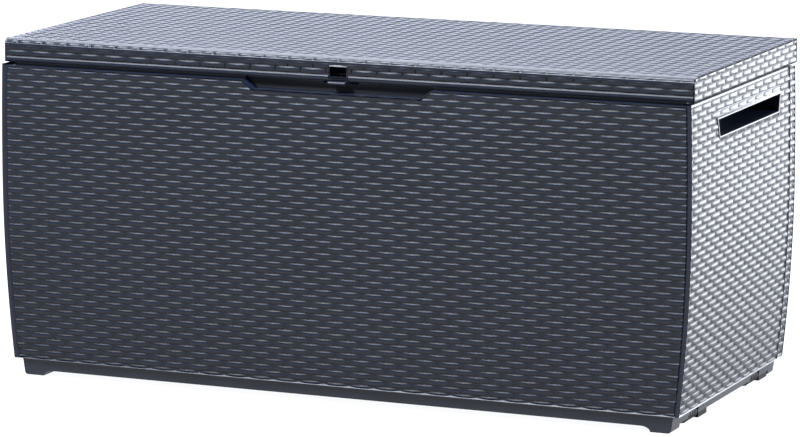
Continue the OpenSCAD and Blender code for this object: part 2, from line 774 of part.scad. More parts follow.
// Moulding that is screwed under the base: two cheeks for the axle, and a skid pad
module roller_bracket(i) color(black_resin) {
    y = roller_y[i];
    z0 = 2;
    difference() {
        union() {
            block([bracket_back - bracket_wall, y - cheek_y - cheek_t, z0],
                [bracket_back, y + cheek_y + cheek_t, bracket_top]);
            for (s = [-1, 1])
                translate([0, y + s * (cheek_y + cheek_t / 2), 0])
                    block([bracket_back - eps, -cheek_t / 2, z0],
                        [cheek_x, cheek_t / 2, bracket_top]);
            block([bracket_back - bracket_plate, y - cheek_y - cheek_t, bracket_top - bracket_wall],
                [bracket_back, y + cheek_y + cheek_t, bracket_top]);
            block([base_x - pad_w, y + pad_y - eps, 0],
                [base_x - 0.5, y + pad_y + pad_l, skirt_z - gap]);
            block([base_x - pad_w, y + cheek_y, z0],
                [cheek_x, y + pad_y + pad_l, skirt_z + 4]);
        }
        translate([roller_x, y - cheek_y - cheek_t - 1, roller_dia / 2]) rotate([-90, 0, 0])
            cylinder(r = axle_dia / 2 + held, h = 2 * (cheek_y + cheek_t) + 2);
        for (p = bracket_screw_places) translate([p.x, p.y, bracket_top - bracket_wall - 1])
            cylinder(r = screw_hole, h = bracket_wall + 2);
    }
}

module roller_bracket_front() roller_bracket(0);
module roller_bracket_rear() roller_bracket(1);
module roller_front() roller(0);
module roller_rear() roller(1);
module axle_front() axle(0);
module axle_rear() axle(1);

// ---- Screws ----

// Three in each corner, through the end walls' flanges into the long walls' bosses
module corner_screws() color(steel)
    for (z = corner_z) both_ends() {
        translate([end_x(z) - corner_inset, body_y0 + wall_t + boss_h + gap + flange_t, z])
            rotate([90, 0, 0]) screw(corner_screw_l);
        translate([end_x(z) - corner_inset, body_y1 - wall_t - boss_h - gap - flange_t, z])
            rotate([-90, 0, 0]) screw(corner_screw_l);
    }

module base_screws() color(steel)
    for (p = base_screw_places) translate([p.x, p.y, base_under]) screw(base_screw_l);

module lid_screws() color(steel)
    for (p = lid_screw_places) if (abs(p.x) > 1 || p.y > 0)
        translate([p.x, p.y, liner_z]) screw(lid_screw_l);

// Two hold the tab on the rear wall of the recess
module lock_screws() color(steel) {
    for (s = [-1, 1]) translate([s * tab_screw_x, tab_y1, tab_screw_z])
        rotate([90, 0, 0]) screw(tab_screw_l);
}

module insert_screws() color(steel)
    for (p = insert_screw_places)
        translate([p.x, p.y, insert_z1 - insert_wall]) screw(insert_screw_l);

module bracket_screws() color(steel)
    for (p = bracket_screw_places)
        translate([p.x, p.y, bracket_top - bracket_wall]) screw(bracket_screw_l);

base_tray();
front_panel();
back_panel();
end_panel_left();
end_panel_right();
lid_shell();
lid_liner();
lock_insert();
lock_tab();
hinge_pin_left();
hinge_pin_middle();
hinge_pin_right();
roller_bracket_front();
roller_bracket_rear();
roller_front();
roller_rear();
axle_front();
axle_rear();
corner_screws();
base_screws();
lid_screws();
lock_screws();
insert_screws();
bracket_screws();
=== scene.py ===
import math

import bmesh
import bpy
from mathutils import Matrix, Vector
from mathutils.bvhtree import BVHTree


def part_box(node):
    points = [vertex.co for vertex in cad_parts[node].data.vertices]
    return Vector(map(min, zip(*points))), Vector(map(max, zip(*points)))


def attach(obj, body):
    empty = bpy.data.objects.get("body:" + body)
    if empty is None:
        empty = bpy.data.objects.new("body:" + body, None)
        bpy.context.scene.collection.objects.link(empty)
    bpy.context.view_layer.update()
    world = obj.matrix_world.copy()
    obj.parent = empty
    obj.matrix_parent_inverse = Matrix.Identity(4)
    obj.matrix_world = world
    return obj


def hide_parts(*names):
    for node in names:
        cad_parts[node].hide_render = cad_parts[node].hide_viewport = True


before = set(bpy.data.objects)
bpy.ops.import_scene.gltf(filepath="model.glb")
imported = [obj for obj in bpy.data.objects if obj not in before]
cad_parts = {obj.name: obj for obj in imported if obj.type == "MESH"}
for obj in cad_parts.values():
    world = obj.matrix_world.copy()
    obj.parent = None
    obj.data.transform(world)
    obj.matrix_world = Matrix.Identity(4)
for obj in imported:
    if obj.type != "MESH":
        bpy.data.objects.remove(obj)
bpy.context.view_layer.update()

# ---- Studio ----
# A pale seamless floor under a dim white tent, lit by six soft panels: three beside the
# roller end, a wide one far behind for the lid's sheen, one overhead and a narrow one in front.

eye = Vector((2.7959, -6.5043, 1.5091))
eye_pitch = math.radians(80.057)
eye_turn = math.radians(23.251)
camera_data = bpy.data.cameras.new("camera")
camera_data.lens = 190.48
camera_data.sensor_width = 36
camera_data.clip_end = 100
camera = bpy.data.objects.new("camera", camera_data)
camera.location = eye
camera.rotation_euler = (eye_pitch, 0, eye_turn)
bpy.context.scene.collection.objects.link(camera)
bpy.context.scene.camera = camera
bpy.context.scene.view_settings.view_transform = "Standard"


def panel_light(name, place, aim, size, power, colour=(1, 1, 1)):
    """A soft rectangular lamp at a place, turned to face a point."""
    lamp = bpy.data.lights.new(name, "AREA")
    lamp.shape = "RECTANGLE"
    lamp.size, lamp.size_y = size
    lamp.energy = power
    lamp.color = colour
    holder = bpy.data.objects.new(name, lamp)
    holder.location = place
    holder.rotation_euler = (Vector(aim) - Vector(place)).to_track_quat("-Z", "Y").to_euler()
    bpy.context.scene.collection.objects.link(holder)


panel_light("end_panel_light", (3.4, 2.6, 1.0), (0.6, 0.0, 0.3), (2.2, 2.2), 140,
            (0.90, 0.94, 1.0))
panel_light("near_end_light", (1.35, 1.75, 0.42), (0.6, 0.0, 0.25), (1.4, 1.2), 40,
            (0.90, 0.94, 1.0))
panel_light("side_light", (3.4, 0.2, 1.4), (0.6, 0.0, 0.3), (1.0, 1.0), 120, (0.92, 0.95, 1.0))
panel_light("back_panel_light", (-2.6, 5.6, 2.1), (0.0, 0.0, 0.6), (9.0, 3.2), 620,
            (0.82, 0.86, 1.0))
panel_light("hanging_light", (0.0, -0.7, 3.2), (0.0, -0.4, 0.3), (3.6, 2.4), 540,
            (0.88, 0.92, 1.0))
panel_light("front_light", (-1.9, -2.66, 3.4), (0.0, -0.26, 0.3), (2.4, 0.25), 210,
            (0.84, 0.90, 1.0))

world = bpy.data.worlds.new("tent")
bpy.context.scene.world = world
world.use_nodes = True
tent = world.node_tree.nodes["Background"]
tent.inputs["Color"].default_value = (0.93, 0.96, 1.0, 1)
tent.inputs["Strength"].default_value = 0.22

bpy.ops.object.select_all(action="DESELECT")
bpy.ops.mesh.primitive_grid_add(x_subdivisions=8, y_subdivisions=8, size=80, location=(0, 0, -0.0005))
floor = bpy.context.object
floor.name = "floor"
bpy.ops.object.transform_apply(location=True, rotation=True, scale=True)
floor_paint = bpy.data.materials.new("floor_paint")
floor_paint.use_nodes = True
shade = floor_paint.node_tree.nodes["Principled BSDF"]
shade.inputs["Base Color"].default_value = (0.06, 0.06, 0.062, 1)
shade.inputs["Roughness"].default_value = 0.9
shade.inputs["Emission Color"].default_value = (0.97, 0.98, 1.0, 1)
shade.inputs["Emission Strength"].default_value = 0.98
floor.data.materials.append(floor_paint)


# ---- Front wall ----
# One injection moulding of graphite polypropylene. Its face carries the relief of flat cane
# strands in a brick bond, let into a narrow plain rim, and a finger recess at the top.

wall_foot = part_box("front_panel")[0].z
lid_gap = 0.005
wall_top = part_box("lid_shell")[0].z - lid_gap
front_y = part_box("front_panel")[0].y
half_width = 0.615
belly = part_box("end_panel_right")[1].x - half_width
tuck = 0.0149
belly_drop = 0.186
belly_z = wall_top - belly_drop
seam = 0.0003
corner_strip = 0.007
rim = 0.0025
relief = 0.0024
backing = relief + 0.0001
long_bump = 0.0456
long_row = 0.01028
long_columns = 29
wall_rows = 50
front_row_start = 0.03526
end_zone = 0.5
hole_reach = 0.02
wall_round = 0.0005
strand_angle = 60
crest_columns = (0.0, 0.14, 0.5, 0.86, 1.0)
crest_heights = (1.0, 0.98, 0.86, 0.40, -0.10)
swell_rows = (0.0, 0.40, 0.72, 1.0)
swell_heights = (1.0, 0.87, 0.52, 0.0)
recess_depth = 0.014
recess_floor = wall_top - recess_depth
recess_half_top = 0.169
recess_half_floor = 0.150


def open_mesh(piece, kind="VERT"):
    """Opens one piece for editing with nothing selected."""
    bpy.ops.object.select_all(action="DESELECT")
    piece.select_set(True)
    bpy.context.view_layer.objects.active = piece
    bpy.ops.object.mode_set(mode="EDIT")
    bpy.ops.mesh.select_mode(type=kind)
    bpy.ops.mesh.select_all(action="DESELECT")


def close_mesh():
    bpy.ops.object.mode_set(mode="OBJECT")


def pick(piece, test, kind="verts"):
    """Selects only those points, edges or faces of the open mesh that pass a test."""
    bpy.ops.mesh.select_all(action="DESELECT")
    shape = bmesh.from_edit_mesh(piece.data)
    for item in getattr(shape, kind):
        if test(item):
            item.select_set(True)
    bmesh.update_edit_mesh(piece.data, loop_triangles=False, destructive=False)


def near(a, b, slack=1e-5):
    return abs(a - b) < slack


def strand(bump, row, heights):
    """One bump of a woven strand, flat on the XY plane: its crest is at z = 0."""
    half_columns = len(crest_columns) - 1
    half_rows = len(swell_rows) - 1
    bpy.ops.object.select_all(action="DESELECT")
    bpy.ops.mesh.primitive_grid_add(x_subdivisions=2 * half_columns,
                                    y_subdivisions=2 * half_rows, size=2)
    piece = bpy.context.object
    open_mesh(piece)
    for i, share in enumerate(crest_columns[1:-1], 1):
        pick(piece, lambda v: near(abs(v.co.x), i / half_columns))
        bpy.ops.transform.resize(value=(share * half_columns / i, 1, 1),
                                 center_override=(0, 0, 0))
    for j, share in enumerate(swell_rows[1:-1], 1):
        pick(piece, lambda v: near(abs(v.co.y), j / half_rows))
        bpy.ops.transform.resize(value=(1, share * half_rows / j, 1),
                                 center_override=(0, 0, 0))
    bpy.ops.mesh.select_all(action="SELECT")
    bpy.ops.transform.resize(value=(bump / 2, row / 2, 1), center_override=(0, 0, 0))
    bpy.ops.transform.translate(value=(0, 0, -relief))
    for along, crest in zip(crest_columns, heights):
        for across, swell in zip(swell_rows[:-1], swell_heights):
            pick(piece, lambda v: near(abs(v.co.x), along * bump / 2)
                 and near(abs(v.co.y), across * row / 2))
            bpy.ops.transform.translate(value=(0, 0, relief * crest * swell))
    close_mesh()
    return piece


def repeat(piece, count, step):
    """Copies a piece in a row and welds the copies."""
    array = piece.modifiers.new("repeat", "ARRAY")
    array.use_relative_offset = False
    array.use_constant_offset = True
    array.constant_offset_displace = step
    array.count = count
    array.use_merge_vertices = True
    array.merge_threshold = 1e-5
    bpy.context.view_layer.objects.active = piece
    bpy.ops.object.modifier_apply(modifier=array.name)


def woven_sheet(name, bump, row, columns, rows):
    """A flat sheet of strands in a brick bond, from y = 0 up, centred on x = 0."""
    piece = strand(bump, row, crest_heights)
    piece.name = piece.data.name = name
    open_mesh(piece)
    bpy.ops.mesh.select_all(action="SELECT")
    bpy.ops.transform.translate(value=(-(columns // 2) * bump, row / 2, 0))
    bpy.ops.mesh.duplicate()
    bpy.ops.transform.translate(value=(bump / 2, row, 0))
    close_mesh()
    repeat(piece, columns, (bump, 0, 0))
    repeat(piece, (rows + 1) // 2, (0, 2 * row, 0))
    open_mesh(piece)
    bpy.ops.mesh.select_all(action="SELECT")
    bpy.ops.mesh.remove_doubles(threshold=1e-5)
    close_mesh()
    return piece


def cut(piece, point, outward, test=None, clear=True):
    """Cuts the open mesh along a line of its sheet, and clears what lies outward of it."""
    if test:
        pick(piece, test, "faces")
    else:
        bpy.ops.mesh.select_all(action="SELECT")
    bpy.ops.mesh.bisect(plane_co=(*point, 0), plane_no=(*outward, 0), clear_outer=clear,
                        threshold=1e-6)


def four_sides(low_half, high_half, low, high, grow, centre=0.0):
    """The sides of an upright trapezoid, grown by a margin, as (point, outward) pairs."""
    lean = Vector((high - low, low_half - high_half)).normalized()
    sides = [((centre, low - grow), (0, -1)), ((centre, high + grow), (0, 1))]
    for hand in (-1, 1):
        point = (centre + hand * (low_half + lean.x * grow), low + lean.y * grow)
        sides.append((point, (hand * lean.x, lean.y)))
    return sides


def within(sides, u, v, slack=0.0):
    return all((u - p[0]) * n[0] + (v - p[1]) * n[1] < slack for p, n in sides)


def open_up(piece, sides, reach):
    """Cuts a hole with these sides through an open sheet."""
    def close_by(face):
        centre = face.calc_center_median()
        return within(sides, centre.x, centre.y, reach)

    for point, outward in sides:
        cut(piece, point, outward, close_by, clear=False)
    pick(piece, lambda f: within(sides, f.calc_center_median().x, f.calc_center_median().y),
         "faces")
    bpy.ops.mesh.delete(type="FACE")


def cut_bowed_ends(piece, inset, foot, base):
    """Cuts both ends of an open sheet to the bow of the end walls, a distance inside them."""
    steps = 12
    heights = [wall_foot + (wall_top - wall_foot) * i / steps for i in range(steps + 1)]
    for side in (-1, 1):
        for low, high in zip(heights[:-1], heights[1:]):
            a = (side * (end_face(low) - inset), low - base)
            b = (side * (end_face(high) - inset), high - base)
            outward = (side * (b[1] - a[1]), -side * (b[0] - a[0]))
            cut(piece, a, outward, lambda f: f.calc_center_median().x * side > foot)


def end_face(z):
    """Distance of an end wall's outer face from the middle plane, at height z."""
    if z > belly_z:
        return half_width + belly * (1 - ((z - belly_z) / (wall_top - belly_z)) ** 2)
    return half_width + belly - (belly + tuck) * ((belly_z - z) / (belly_z - wall_foot)) ** 2


def back_up(piece, depth):
    """Gives the open sheet its thickness: the edge is drawn down and closed behind."""
    bpy.ops.mesh.select_all(action="SELECT")
    bpy.ops.mesh.remove_doubles(threshold=2e-6)
    bpy.ops.mesh.select_mode(type="EDGE")
    bpy.ops.mesh.select_all(action="DESELECT")
    bpy.ops.mesh.select_non_manifold(extend=False, use_wire=False, use_boundary=True,
                                     use_multi_face=False, use_non_contiguous=False,
                                     use_verts=False)
    bpy.ops.mesh.extrude_edges_move()
    bpy.ops.transform.resize(value=(1, 1, 0), center_override=(0, 0, -depth))
    bpy.ops.mesh.fill(use_beauty=False)
    bpy.ops.mesh.select_all(action="SELECT")
    bpy.ops.mesh.normals_make_consistent(inside=False)


def place(piece, turn, where):
    """Stands a flat sheet up on a face of the box and applies its place to the mesh."""
    piece.rotation_euler = turn
    piece.location = where
    bpy.ops.object.select_all(action="DESELECT")
    piece.select_set(True)
    bpy.context.view_layer.objects.active = piece
    bpy.ops.object.transform_apply(location=True, rotation=True, scale=True)


def keep_relief(piece):
    """Stores how far each point of a flat sheet lies below its crests, from 0 to 1."""
    depth = piece.data.attributes.new("hollow", "FLOAT", "POINT")
    depth.data.foreach_set("value", [min(1.0, -v.co.z / relief) for v in piece.data.vertices])


def moulding(node, name):
    """A welded copy of a CAD node, its flat faces whole, to be shaped further."""
    piece = bpy.data.objects.new(name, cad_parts[node].data.copy())
    bpy.context.scene.collection.objects.link(piece)
    piece.data.materials.clear()
    open_mesh(piece)
    bpy.ops.mesh.select_all(action="SELECT")
    bpy.ops.mesh.remove_doubles(threshold=1e-5)
    bpy.ops.mesh.dissolve_limited(angle_limit=math.radians(0.1))
    close_mesh()
    return piece


def let_in(piece, test, margin=rim):
    """Sinks the picked outer face of an open moulding inside a plain rim."""
    pick(piece, test, "faces")
    bpy.ops.mesh.inset(thickness=margin, depth=-relief, use_even_offset=True, use_boundary=True)


def soften(piece, width, segments=2, angle=35):
    """Rounds the sharp edges of a moulding, and keeps every point close to its old skin."""
    bpy.context.view_layer.update()
    old_skin = bpy.data.meshes.new_from_object(piece)
    before = bmesh.new()
    before.from_mesh(old_skin)
    tree = BVHTree.FromBMesh(before)
    before.free()
    bpy.data.meshes.remove(old_skin)
    bevel = piece.modifiers.new("soften", "BEVEL")
    bevel.width = width
    bevel.segments = segments
    bevel.limit_method = "ANGLE"
    bevel.angle_limit = math.radians(angle)
    bevel.use_clamp_overlap = True
    bpy.context.view_layer.objects.active = piece
    bpy.ops.object.modifier_apply(modifier=bevel.name)
    for point in piece.data.vertices:
        spot, _, _, distance = tree.find_nearest(point.co)
        if distance > width * 0.7:
            point.co = spot


def smooth(piece, angle=20):
    bpy.ops.object.select_all(action="DESELECT")
    piece.select_set(True)
    bpy.context.view_layer.objects.active = piece
    bpy.ops.object.shade_smooth_by_angle(angle=math.radians(angle))


def gather(name, main, *others):
    """Joins meshes into one piece of the box."""
    bpy.ops.object.select_all(action="DESELECT")
    for other in others:
        other.select_set(True)
    main.select_set(True)
    bpy.context.view_layer.objects.active = main
    bpy.ops.object.join()
    main.name = main.data.name = name
    return main


def woven_resin(name, strand_scale):
    """Graphite resin with cane grain along the strands; painted shade darkens its hollows, which are
    also duller.
    """
    paint = bpy.data.materials.new(name)
    paint.use_nodes = True
    nodes, links = paint.node_tree.nodes, paint.node_tree.links
    shade = nodes["Principled BSDF"]
    shade.inputs["Specular IOR Level"].default_value = 0.36
    place_in = nodes.new("ShaderNodeTexCoord")
    stretch = nodes.new("ShaderNodeMapping")
    stretch.inputs["Scale"].default_value = strand_scale
    links.new(place_in.outputs["Object"], stretch.inputs["Vector"])
    grain = nodes.new("ShaderNodeTexNoise")
    grain.inputs["Scale"].default_value = 1.0
    grain.inputs["Detail"].default_value = 2.0
    grain.inputs["Roughness"].default_value = 0.6
    links.new(stretch.outputs["Vector"], grain.inputs["Vector"])
    cloud = nodes.new("ShaderNodeTexNoise")
    cloud.inputs["Scale"].default_value = 9.0
    cloud.inputs["Detail"].default_value = 3.0
    links.new(place_in.outputs["Object"], cloud.inputs["Vector"])
    spark = nodes.new("ShaderNodeTexNoise")
    spark.inputs["Scale"].default_value = 1900.0
    spark.inputs["Detail"].default_value = 2.0
    links.new(place_in.outputs["Object"], spark.inputs["Vector"])
    hollow = nodes.new("ShaderNodeAttribute")
    hollow.attribute_name = "hollow"
    tone = nodes.new("ShaderNodeValToRGB")
    tone.color_ramp.elements[0].position = 0.30
    tone.color_ramp.elements[0].color = (0.0026, 0.0046, 0.0110, 1)
    tone.color_ramp.elements[1].position = 0.72
    tone.color_ramp.elements[1].color = (0.0056, 0.0084, 0.0175, 1)
    blend = nodes.new("ShaderNodeMix")
    blend.data_type = "FLOAT"
    blend.inputs["Factor"].default_value = 0.45
    links.new(grain.outputs["Fac"], blend.inputs[2])
    links.new(cloud.outputs["Fac"], blend.inputs[3])
    links.new(blend.outputs[0], tone.inputs["Fac"])
    # painted shade: the base colour darkens with the depth of the relief, standing in for the shadow
    # in the hollows between strands
    shadow = nodes.new("ShaderNodeValToRGB")
    shadow.color_ramp.elements[0].position = 0.35
    shadow.color_ramp.elements[0].color = (1, 1, 1, 1)
    shadow.color_ramp.elements[1].position = 0.95
    shadow.color_ramp.elements[1].color = (0.22, 0.22, 0.22, 1)
    links.new(hollow.outputs["Fac"], shadow.inputs["Fac"])
    colour = nodes.new("ShaderNodeMix")
    colour.data_type = "RGBA"
    colour.blend_type = "MULTIPLY"
    colour.inputs["Factor"].default_value = 1.0
    links.new(tone.outputs["Color"], colour.inputs[6])
    links.new(shadow.outputs["Color"], colour.inputs[7])
    links.new(colour.outputs[2], shade.inputs["Base Color"])
    dull = nodes.new("ShaderNodeMapRange")
    dull.inputs["From Min"].default_value = 0.2
    dull.inputs["From Max"].default_value = 0.9
    dull.inputs["To Min"].default_value = 0.30
    dull.inputs["To Max"].default_value = 0.62
    links.new(hollow.outputs["Fac"], dull.inputs["Value"])
    links.new(dull.outputs["Result"], shade.inputs["Roughness"])
    strand_bump = nodes.new("ShaderNodeBump")
    strand_bump.inputs["Strength"].default_value = 0.15
    strand_bump.inputs["Distance"].default_value = 0.0003
    links.new(grain.outputs["Fac"], strand_bump.inputs["Height"])
    fine_bump = nodes.new("ShaderNodeBump")
    fine_bump.inputs["Strength"].default_value = 0.10
    fine_bump.inputs["Distance"].default_value = 0.00004
    links.new(spark.outputs["Fac"], fine_bump.inputs["Height"])
    links.new(strand_bump.outputs["Normal"], fine_bump.inputs["Normal"])
    links.new(fine_bump.outputs["Normal"], shade.inputs["Normal"])
    return paint


woven_long = woven_resin("woven_resin_long", (14.0, 420.0, 420.0))

front_row_foot = front_row_start - long_row
weave = woven_sheet("front_weave", long_bump, long_row, long_columns, wall_rows)
open_mesh(weave, "FACE")
cut(weave, (0, wall_foot + rim - front_row_foot), (0, -1))
cut(weave, (0, wall_top - rim - front_row_foot), (0, 1))
cut_bowed_ends(weave, corner_strip + seam + rim, end_zone, front_row_foot)
open_up(weave, four_sides(recess_half_floor, recess_half_top, recess_floor - front_row_foot,
                          wall_top - front_row_foot, rim), hole_reach)
back_up(weave, backing)
close_mesh()
keep_relief(weave)
place(weave, (math.pi / 2, 0, 0), (0, front_y, front_row_foot))

front = moulding("front_panel", "front_wall")
open_mesh(front, "FACE")
let_in(front, lambda f: f.normal.y < -0.99 and near(f.calc_center_median().y, front_y, 1e-4))
close_mesh()
soften(front, wall_round)
front.data.materials.append(woven_long)
weave.data.materials.append(woven_long)
smooth(front)
smooth(weave, strand_angle)
front = gather("front_wall", front, weave)
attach(front, "box")
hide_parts("front_panel")


# ---- Back wall ----
# The back wall is moulded like the front one, but it wraps round both rear corners and its
# top edge carries the paired lugs of the three hinges.

body_depth = 0.526
back_y = front_y + body_depth
back_wrap = 0.028
end_bump = 0.0438
end_row = 0.01025
end_columns = 15
end_top_row = 0.5281
end_row_foot = end_top_row - (wall_rows - 1) * end_row
end_phase = 0.0330
end_middle = front_y + end_phase + 6 * end_bump
pocket_reach = 0.012

weave = woven_sheet("back_weave", long_bump, long_row, long_columns, wall_rows)
open_mesh(weave, "FACE")
cut(weave, (0, wall_foot + rim - front_row_foot), (0, -1))
cut(weave, (0, wall_top - rim - front_row_foot), (0, 1))
cut_bowed_ends(weave, rim, end_zone, front_row_foot)
back_up(weave, backing)
close_mesh()
keep_relief(weave)
place(weave, (math.pi / 2, 0, math.pi), (0, back_y, front_row_foot))


def bow(piece, side):
    """Bends an upright sheet at the middle plane out to the curve of an end wall."""
    for point in piece.data.vertices:
        point.co.x += side * end_face(point.co.z)


def end_weave(name, side, start, stop, hole=None):
    """The strands of one stretch of an end wall, from one depth to another."""
    piece = woven_sheet(name, end_bump, end_row, end_columns, wall_rows)
    open_mesh(piece, "FACE")
    limits = sorted((side * (start - end_middle), side * (stop - end_middle)))
    cut(piece, (limits[0], 0), (-1, 0))
    cut(piece, (limits[1], 0), (1, 0))
    cut(piece, (0, wall_foot + rim - end_row_foot), (0, -1))
    cut(piece, (0, wall_top - rim - end_row_foot), (0, 1))
    if hole:
        centre, low_half, high_half, low, high, grow = hole
        open_up(piece, four_sides(low_half, high_half, low - end_row_foot, high - end_row_foot,
                                  grow, side * (centre - end_middle)), pocket_reach)
    back_up(piece, backing)
    close_mesh()
    keep_relief(piece)
    place(piece, (math.pi / 2, 0, side * math.pi / 2), (0, end_middle, end_row_foot))
    bow(piece, side)
    return piece


woven_end = woven_resin("woven_resin_end", (420.0, 14.0, 420.0))
wraps = []
for side, hand in ((-1, "left"), (1, "right")):
    wraps.append(end_weave("wrap_" + hand, side, back_y - back_wrap + seam + rim, back_y - rim))

back = moulding("back_panel", "back_wall")
open_mesh(back, "FACE")
bpy.ops.mesh.select_all(action="SELECT")
bpy.ops.mesh.bisect(plane_co=(0, 0, wall_top), plane_no=(0, 0, 1), threshold=1e-6)
let_in(back, lambda f: f.normal.y > 0.99 and near(f.calc_center_median().y, back_y, 1e-4)
       and f.calc_center_median().z < wall_top)
for side in (-1, 1):
    let_in(back, lambda f: f.normal.x * side > 0.98
           and near(f.calc_center_median().x * side, end_face(f.calc_center_median().z), 3e-4))
close_mesh()
soften(back, wall_round)
for piece in (back, weave):
    piece.data.materials.append(woven_long)
for piece in wraps:
    piece.data.materials.append(woven_end)
    smooth(piece, strand_angle)
smooth(back)
smooth(weave, strand_angle)
back = gather("back_wall", back, weave, *wraps)
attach(back, "box")
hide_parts("back_panel")


# ---- End walls ----
# Both end walls bow outwards and are mirror images. Each has a hand pocket: an opening with
# a smooth border, and a closed cup moulded behind it.

grip_setback = 0.024
grip_drop = 0.037
grip_height = 0.029
grip_centre = front_y + body_depth / 2 + grip_setback
grip_high = wall_top - grip_drop
grip_low = grip_high - grip_height
grip_half_high = 0.158
grip_half_low = 0.150
grip_border = 0.0020
grip_groove = 0.0012

for side, hand in ((-1, "left"), (1, "right")):
    border = four_sides(grip_half_low, grip_half_high, grip_low, grip_high, grip_border,
                        grip_centre)
    weave = end_weave("end_weave_" + hand, side, front_y + rim, back_y - back_wrap - rim,
                      (grip_centre, grip_half_low, grip_half_high, grip_low, grip_high,
                       grip_border + rim + grip_groove))
    wall = moulding("end_panel_" + hand, "end_wall_" + hand)

    def outer(face):
        centre = face.calc_center_median()
        return (face.normal.x * side > 0.98
                and near(centre.x * side, end_face(centre.z), 3e-4))

    open_mesh(wall, "FACE")
    for point, outward in border:
        pick(wall, outer, "faces")
        bpy.ops.mesh.bisect(plane_co=(0, *point), plane_no=(0, *outward), threshold=1e-6)
    let_in(wall, lambda f: outer(f) and not within(border, f.calc_center_median().y,
                                                   f.calc_center_median().z))
    close_mesh()
    soften(wall, wall_round)
    wall.data.materials.append(woven_end)
    weave.data.materials.append(woven_end)
    smooth(wall)
    smooth(weave, strand_angle)
    wall = gather("end_wall_" + hand, wall, weave)
    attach(wall, "box")
    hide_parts("end_panel_" + hand)


# ---- Base ----
# A shallow tray with a plain skirt and four hollow feet, moulded in the same resin with a
# fine spark-eroded surface. The walls are screwed down on it from below.

def smooth_resin(name, dark, light, roughness, shine):
    """Moulded resin with a fine spark-eroded surface and faint flow clouds."""
    paint = bpy.data.materials.new(name)
    paint.use_nodes = True
    nodes, links = paint.node_tree.nodes, paint.node_tree.links
    shade = nodes["Principled BSDF"]
    shade.inputs["Specular IOR Level"].default_value = shine
    place_in = nodes.new("ShaderNodeTexCoord")
    cloud = nodes.new("ShaderNodeTexNoise")
    cloud.inputs["Scale"].default_value = 14.0
    cloud.inputs["Detail"].default_value = 4.0
    links.new(place_in.outputs["Object"], cloud.inputs["Vector"])
    tone = nodes.new("ShaderNodeValToRGB")
    tone.color_ramp.elements[0].position = 0.32
    tone.color_ramp.elements[0].color = (*dark, 1)
    tone.color_ramp.elements[1].position = 0.70
    tone.color_ramp.elements[1].color = (*light, 1)
    links.new(cloud.outputs["Fac"], tone.inputs["Fac"])
    links.new(tone.outputs["Color"], shade.inputs["Base Color"])
    gloss = nodes.new("ShaderNodeMapRange")
    gloss.inputs["To Min"].default_value = roughness - 0.05
    gloss.inputs["To Max"].default_value = roughness + 0.08
    links.new(cloud.outputs["Fac"], gloss.inputs["Value"])
    links.new(gloss.outputs["Result"], shade.inputs["Roughness"])
    spark = nodes.new("ShaderNodeTexVoronoi")
    spark.inputs["Scale"].default_value = 1300.0
    links.new(place_in.outputs["Object"], spark.inputs["Vector"])
    pits = nodes.new("ShaderNodeBump")
    pits.inputs["Strength"].default_value = 0.3
    pits.inputs["Distance"].default_value = 0.0001
    links.new(spark.outputs["Distance"], pits.inputs["Height"])
    links.new(pits.outputs["Normal"], shade.inputs["Normal"])
    return paint


plain_resin = smooth_resin("plain_resin", (0.007, 0.009, 0.016), (0.013, 0.016, 0.025), 0.44,
                           0.40)


def finish_moulding(node, name, body, paint, round_off, angle=35):
    """Rounds a moulding's edges and puts it in place of its CAD node."""
    piece = moulding(node, name)
    soften(piece, round_off, angle=angle)
    piece.data.materials.append(paint)
    smooth(piece)
    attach(piece, body)
    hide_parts(node)
    return piece


finish_moulding("base_tray", "base", "box", plain_resin, round_off=0.0003)


# ---- Lid ----
# A shallow cap moulded in one: the strands run over its front nose and across the top. Its
# skirt hangs over the walls' rain lip and ends in a plain bead along the front.

lid_low, lid_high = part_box("lid_shell")
lid_rim = 0.003
nose = 0.011
bead = 0.0099
thin_rim = 0.0004
skirt_rise = lid_high.z - nose - lid_low.z
nose_run = nose * math.pi / 2
lid_run = skirt_rise + nose_run + (lid_high.y - lid_low.y - nose)
window_half = 0.015
window_low = 0.007
window_high = 0.024
lid_rows = 54
skirt_rows = 4
nose_dip = 0.8
nose_steps = 6
row_margin = 0.001
lid_round = 0.0006

weave = woven_sheet("lid_weave", long_bump, long_row, long_columns, lid_rows)
open_mesh(weave)
bpy.ops.mesh.select_all(action="SELECT")
bpy.ops.transform.translate(value=(0, bead, 0))
close_mesh()
strip = strand(long_bump, bead, (1, 1, 1, 1, 1))
open_mesh(strip)
bpy.ops.mesh.select_all(action="SELECT")
bpy.ops.transform.translate(value=(-(long_columns // 2) * long_bump, bead / 2, 0))
close_mesh()
repeat(strip, long_columns + 1, (long_bump, 0, 0))
weave = gather("lid_weave", weave, strip)
open_mesh(weave, "FACE")
bpy.ops.mesh.select_all(action="SELECT")
bpy.ops.mesh.remove_doubles(threshold=1e-5)
cut(weave, (0, thin_rim), (0, -1))
cut(weave, (0, lid_run - lid_rim), (0, 1))
cut(weave, (lid_low.x + lid_rim, 0), (-1, 0))
cut(weave, (lid_high.x - lid_rim, 0), (1, 0))
open_up(weave, four_sides(window_half, window_half, window_low, window_high, lid_rim),
        hole_reach)
back_up(weave, backing)
nose_row = bead + 2 * long_row
pick(weave, lambda v: nose_row + row_margin < v.co.y < nose_row + long_row - row_margin
     and v.co.z > -relief
     and near(v.co.x / long_bump, round(v.co.x / long_bump), 0.01))
bpy.ops.transform.translate(value=(0, 0, -nose_dip * relief))
close_mesh()
keep_relief(weave)


